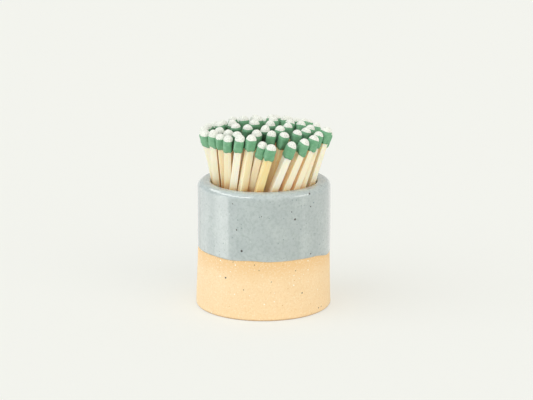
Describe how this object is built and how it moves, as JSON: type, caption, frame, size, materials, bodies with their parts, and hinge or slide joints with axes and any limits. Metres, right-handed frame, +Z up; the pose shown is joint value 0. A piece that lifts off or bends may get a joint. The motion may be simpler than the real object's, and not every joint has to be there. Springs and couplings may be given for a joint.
{
  "type": "match striker",
  "caption": "Thick-walled stoneware cup, glazed above and bare clay below for striking, with a bundle of kitchen matches standing in it.",
  "frame": {"origin": "middle of the flat foot that the cup stands on", "axes": "+Z up along the cup's axis, -Y towards the viewer of the picture, +X to the right"},
  "size_m": [0.0455, 0.0458, 0.0635],
  "materials": {
    "glazed_stoneware": "gloss glaze above, bare rough clay below",
    "match_splint": "rough sawn aspen, dipped head"
  },
  "bodies": {
    "root": {"match_01": "match_splint", "match_02": "match_splint", "match_03": "match_splint", "match_04": "match_splint", "match_05": "match_splint", "match_06": "match_splint", "match_07": "match_splint", "match_08": "match_splint", "match_09": "match_splint", "match_10": "match_splint", "match_11": "match_splint", "match_12": "match_splint", "match_13": "match_splint", "match_14": "match_splint", "match_15": "match_splint", "match_16": "match_splint", "match_17": "match_splint", "match_18": "match_splint", "match_19": "match_splint", "match_20": "match_splint", "match_21": "match_splint", "match_22": "match_splint", "match_23": "match_splint", "match_24": "match_splint", "match_25": "match_splint", "match_26": "match_splint", "match_27": "match_splint", "match_28": "match_splint", "match_29": "match_splint", "match_30": "match_splint", "match_31": "match_splint", "match_32": "match_splint", "match_33": "match_splint", "match_34": "match_splint", "match_35": "match_splint", "match_36": "match_splint", "match_37": "match_splint", "match_38": "match_splint", "match_39": "match_splint", "match_40": "match_splint", "match_41": "match_splint", "match_42": "match_splint", "match_43": "match_splint", "match_44": "match_splint", "match_45": "match_splint", "match_46": "match_splint", "match_47": "match_splint", "match_48": "match_splint", "match_49": "match_splint", "match_50": "match_splint", "match_51": "match_splint", "match_52": "match_splint", "match_53": "match_splint", "match_54": "match_splint", "match_55": "match_splint", "match_56": "match_splint", "match_57": "match_splint", "match_58": "match_splint", "match_59": "match_splint", "striker_cup": "glazed_stoneware"}
  },
  "joints": []
}
